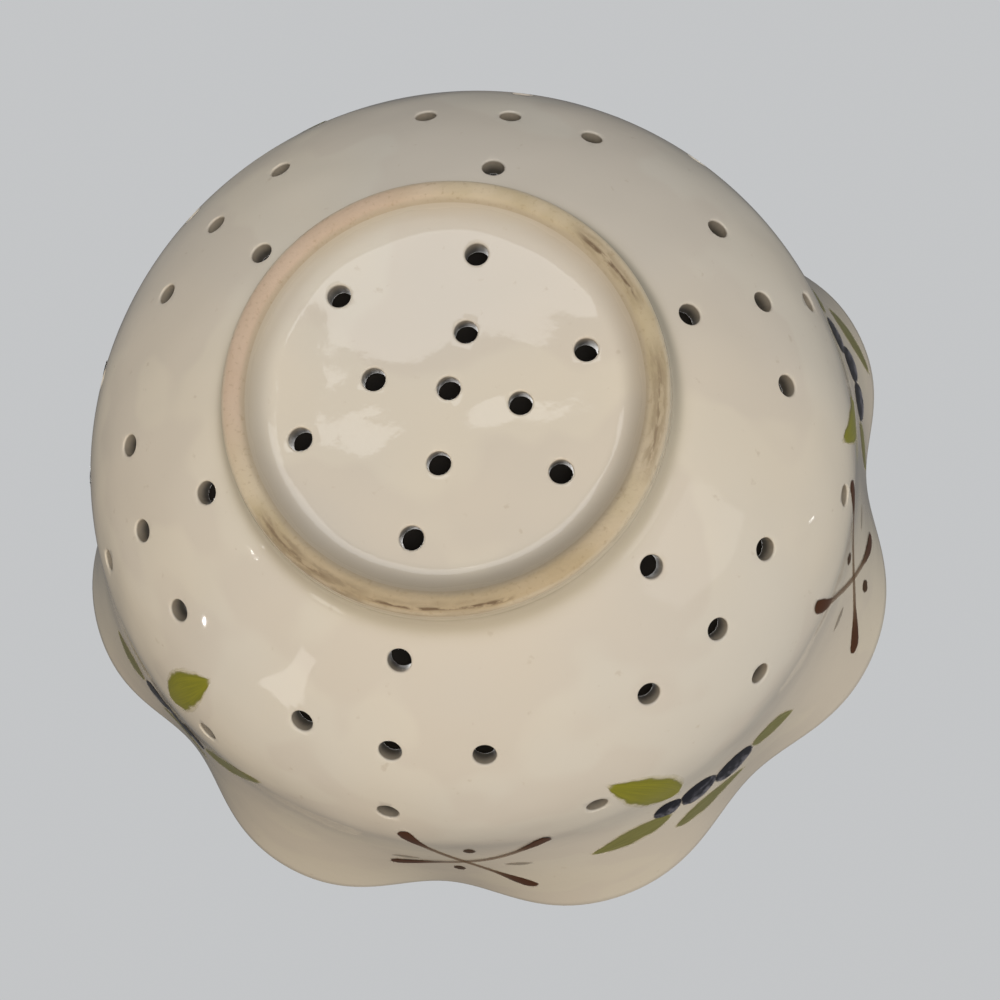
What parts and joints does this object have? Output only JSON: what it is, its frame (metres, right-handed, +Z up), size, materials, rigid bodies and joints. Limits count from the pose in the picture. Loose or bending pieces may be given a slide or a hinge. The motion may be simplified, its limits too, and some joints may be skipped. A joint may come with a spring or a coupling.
{
  "type": "berry colander bowl",
  "caption": "Round ceramic berry colander bowl with a pierced floor and wall, a low foot ring, a softly lobed rim and small berry sprays fired on its outside.",
  "frame": {"origin": "centre of the bowl's footprint, on the surface that the foot ring stands on", "axes": "+Z up out of the bowl's mouth; +X through one of the lines of drain holes in the wall"},
  "size_m": [0.1981, 0.1978, 0.083],
  "materials": {
    "white_glaze": "glossy warm white glaze",
    "bare_clay": "matte tan clay, stained brown in places",
    "leaf_enamel": "glossy yellow-green to olive brushed enamel",
    "berry_enamel": "glossy blue-black brushed enamel",
    "stroke_enamel": "glossy red-brown brushed enamel"
  },
  "bodies": {
    "root": {"base_plate": "white_glaze", "bowl_wall": "white_glaze", "foot_ring": "white_glaze", "bare_foot_band": "bare_clay", "scalloped_rim": "white_glaze", "spray_1_leaves": "leaf_enamel", "spray_2_leaves": "leaf_enamel", "spray_3_leaves": "leaf_enamel", "spray_4_leaves": "leaf_enamel", "spray_1_berries": "berry_enamel", "spray_2_berries": "berry_enamel", "spray_3_berries": "berry_enamel", "spray_4_berries": "berry_enamel", "sprig_1_strokes": "stroke_enamel", "sprig_2_strokes": "stroke_enamel", "sprig_3_strokes": "stroke_enamel", "sprig_4_strokes": "stroke_enamel", "sprig_1_dots": "stroke_enamel", "sprig_2_dots": "stroke_enamel", "sprig_3_dots": "stroke_enamel", "sprig_4_dots": "stroke_enamel"}
  },
  "joints": []
}
